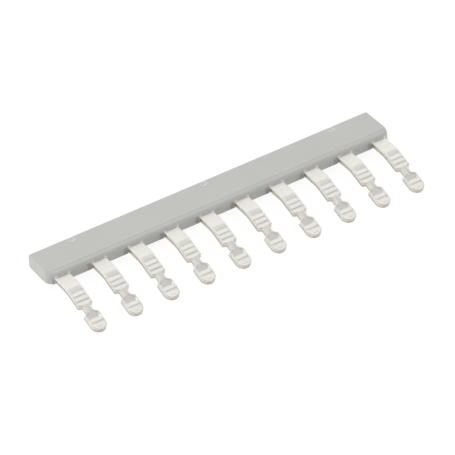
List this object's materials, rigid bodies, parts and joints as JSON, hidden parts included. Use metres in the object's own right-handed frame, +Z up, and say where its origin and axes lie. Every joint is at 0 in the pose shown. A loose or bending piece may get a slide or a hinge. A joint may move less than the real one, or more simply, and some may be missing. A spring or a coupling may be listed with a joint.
{
  "type": "terminal block jumper bar",
  "caption": "Flat moulded plastic bar with a row of bent, notched metal tongues along one edge, which link neighbouring terminal blocks.",
  "frame": {"origin": "middle of the footprint, on the surface that the part rests on", "axes": "+X along the bar from tongue to tongue, +Y from the tongue tips to the rear of the bar, +Z up"},
  "size_m": [0.0606, 0.018, 0.0026],
  "materials": {
    "moulded_plastic": "fine matt moulded grain",
    "tinned_copper": "satin tin plate, bare copper on the sheared edges"
  },
  "bodies": {
    "root": {"insulating_bar": "moulded_plastic", "contact_comb": "tinned_copper"}
  },
  "joints": []
}
